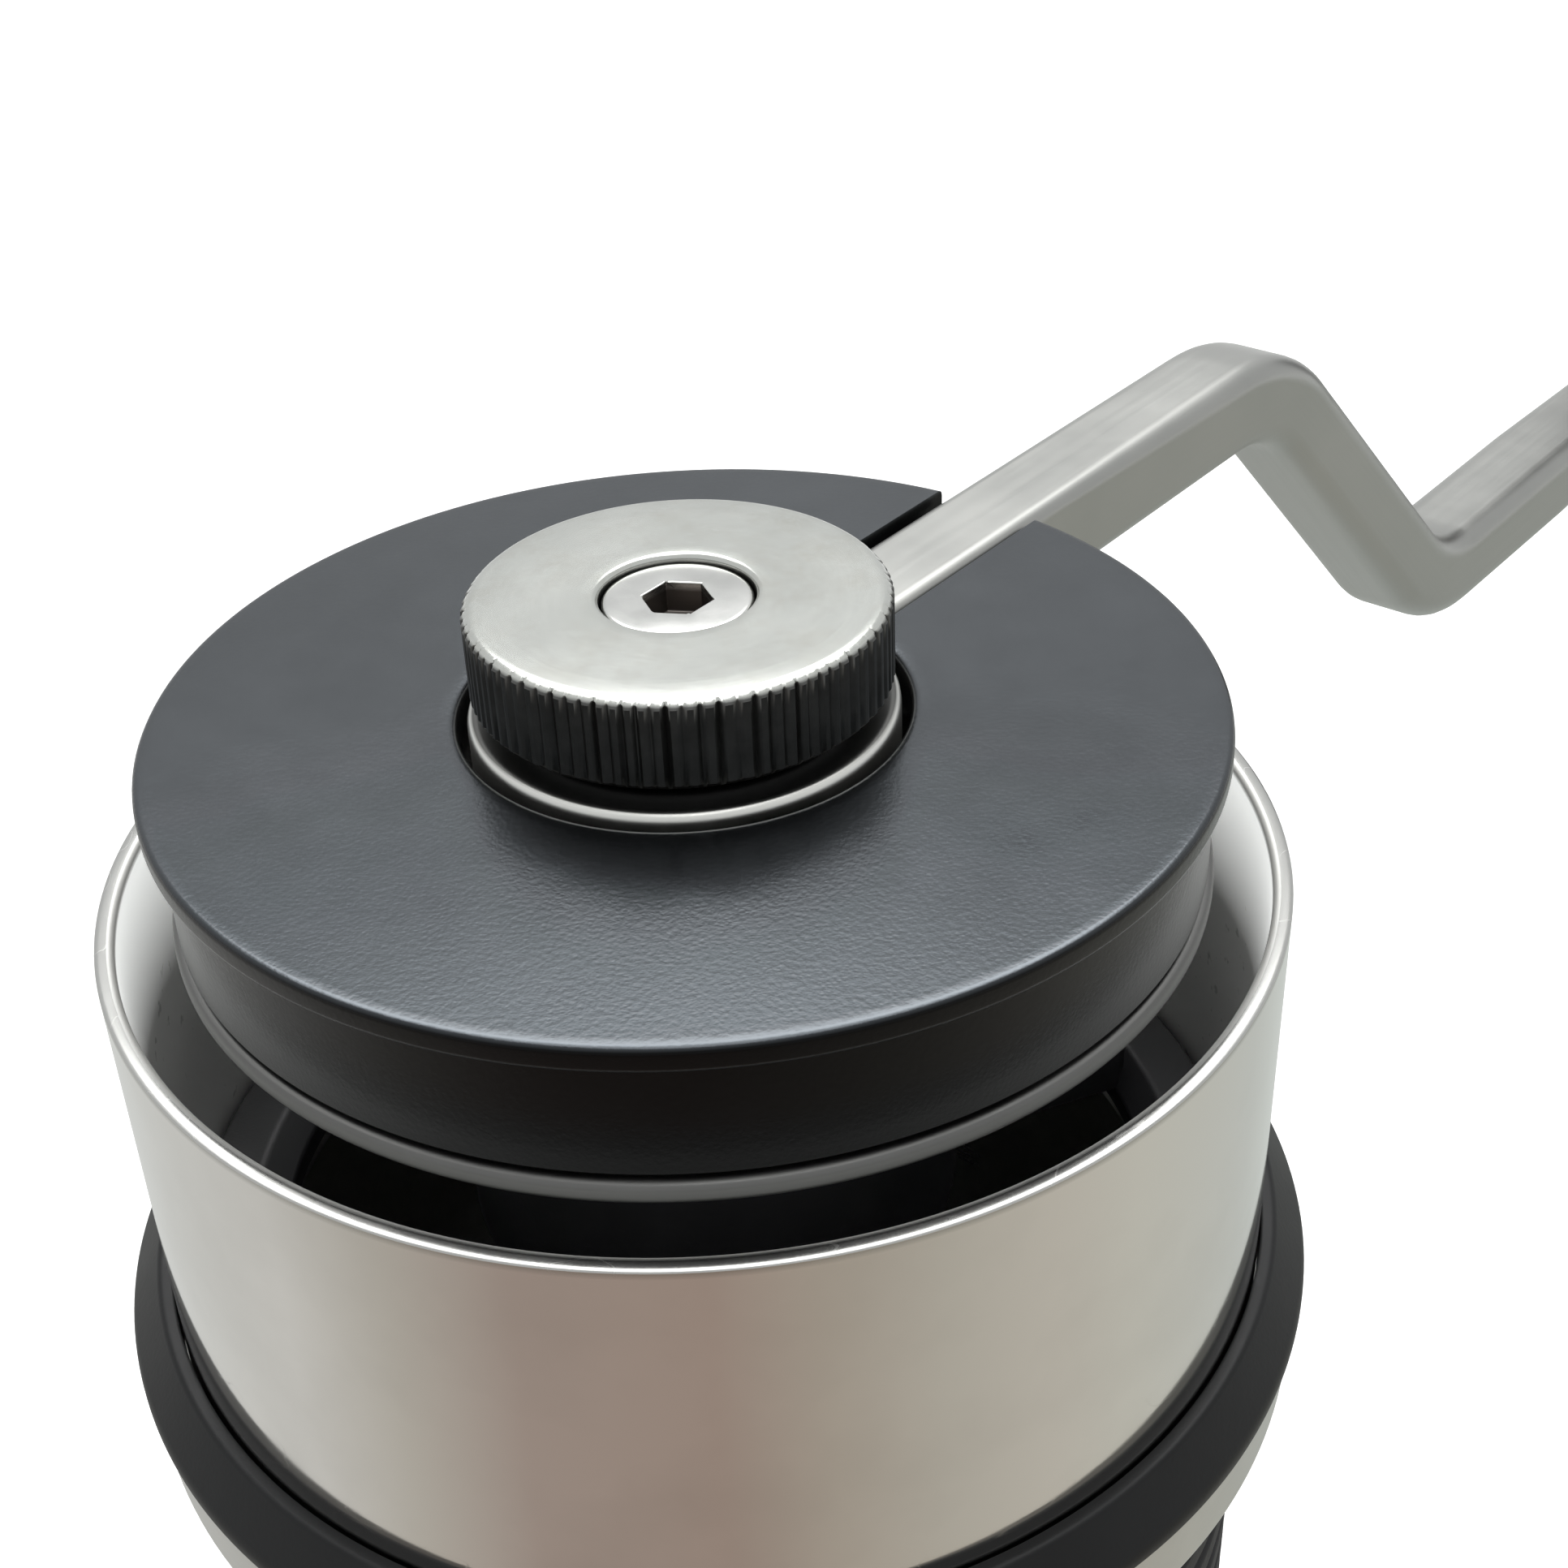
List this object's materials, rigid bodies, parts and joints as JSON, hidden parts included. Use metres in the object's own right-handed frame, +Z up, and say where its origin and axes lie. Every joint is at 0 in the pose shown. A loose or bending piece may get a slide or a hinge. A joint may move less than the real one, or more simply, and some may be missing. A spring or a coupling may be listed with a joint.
{
  "type": "hand crank coffee grinder",
  "caption": "Cylindrical hand crank coffee grinder: lid with a slot over a polished hopper, stepped crank arm with knob, bearing shaft, conical burrs, dial and catch cup.",
  "frame": {"origin": "on the grinder's axis, at the underside of the cup's rubber pad, where it stands on the table", "axes": "+Z up along the grinder's axis, +X along the crank arm at rest, +Y completes the right-handed frame"},
  "size_m": [0.2064, 0.0662, 0.192],
  "materials": {
    "polished_steel": "mirror polished stainless steel",
    "satin_steel": "satin stainless steel",
    "bearing_steel": "ground bearing steel",
    "burr_steel": "hardened tool steel",
    "lid_black": "fine grained matte black",
    "collar_black": "smooth matte black",
    "rubber_black": "matte black rubber",
    "knob_black": "satin black",
    "bridge_black": "black anodised",
    "brass": "turned brass",
    "magnet_nickel": "nickel plated magnet"
  },
  "bodies": {
    "cup": {"catch_cup": "satin_steel", "cup_pad": "rubber_black"},
    "carrier": {"burr_carrier": "satin_steel", "outer_burr": "burr_steel", "burr_retaining_ring": "bearing_steel", "cup_magnet_1": "magnet_nickel", "cup_magnet_2": "magnet_nickel", "cup_magnet_3": "magnet_nickel", "cup_magnet_4": "magnet_nickel"},
    "housing": {"hopper_shell": "polished_steel", "thumb_collar": "collar_black", "main_body": "satin_steel", "grip_sleeve": "rubber_black", "hopper_bridge": "bridge_black", "lower_bridge": "bridge_black", "dial_snap_ring": "satin_steel", "dial_o_ring": "rubber_black", "upper_bearing_outer_race": "bearing_steel", "lower_bearing_outer_race": "bearing_steel", "hopper_bridge_screw_1": "satin_steel", "hopper_bridge_screw_2": "satin_steel", "hopper_bridge_screw_3": "satin_steel", "lower_bridge_screw_1": "satin_steel", "lower_bridge_screw_2": "satin_steel", "lower_bridge_screw_3": "satin_steel", "key_pin_1": "satin_steel", "key_pin_2": "satin_steel", "key_pin_3": "satin_steel"},
    "crank": {"drive_shaft": "satin_steel", "wave_washer": "satin_steel", "shaft_spacer": "satin_steel", "hub_collar": "satin_steel", "crank_arm": "satin_steel", "thumb_nut": "satin_steel", "nut_washer": "bearing_steel", "crank_screw": "satin_steel", "inner_burr": "burr_steel", "burr_bolt": "satin_steel", "burr_washer": "satin_steel", "upper_bearing_inner_race": "bearing_steel", "lower_bearing_inner_race": "bearing_steel", "knob_spindle": "satin_steel", "knob_washer": "brass", "knob_lock_nut": "satin_steel"},
    "lid": {"lid": "lid_black", "lid_ring": "polished_steel"},
    "knob": {"knob_grip": "knob_black", "knob_bush_lower": "brass", "knob_bush_upper": "brass", "knob_cap": "satin_steel"},
    "upper_balls": {"upper_bearing_balls": "bearing_steel"},
    "lower_balls": {"lower_bearing_balls": "bearing_steel"},
    "dial": {"adjustment_dial": "satin_steel"}
  },
  "joints": [
    {"name": "grinder_lift", "type": "slide", "parent": "cup", "child": "carrier", "axis": [0, 0, 1], "range_m": [0, 0.04]},
    {"name": "housing_rise", "type": "slide", "parent": "carrier", "child": "housing", "axis": [0, 0, 1], "range_m": [0, 0.00142]},
    {"name": "dial_turn", "type": "hinge", "parent": "housing", "child": "dial", "pos_m": [0, 0, 0.071], "axis": [0, 0, 1], "range_deg": [0, 340]},
    {"name": "crank_turn", "type": "hinge", "parent": "housing", "child": "crank", "pos_m": [0, 0, 0.175], "axis": [0, 0, 1], "continuous": true},
    {"name": "upper_balls_turn", "type": "hinge", "parent": "housing", "child": "upper_balls", "pos_m": [0, 0, 0.1535], "axis": [0, 0, 1], "continuous": true},
    {"name": "lower_balls_turn", "type": "hinge", "parent": "housing", "child": "lower_balls", "pos_m": [0, 0, 0.0965], "axis": [0, 0, 1], "continuous": true},
    {"name": "knob_turn", "type": "hinge", "parent": "crank", "child": "knob", "pos_m": [0.16, 0, 0.17], "axis": [0, 0, 1], "continuous": true},
    {"name": "lid_lift", "type": "slide", "parent": "crank", "child": "lid", "axis": [0, 0, 1], "range_m": [0, 0.045]}
  ],
  "couplings": [
    {"joint": "housing_rise", "follows": "dial_turn", "m_per_rad": 0.00023873},
    {"joint": "upper_balls_turn", "follows": "crank_turn", "ratio": 0.398},
    {"joint": "lower_balls_turn", "follows": "crank_turn", "ratio": 0.398}
  ]
}
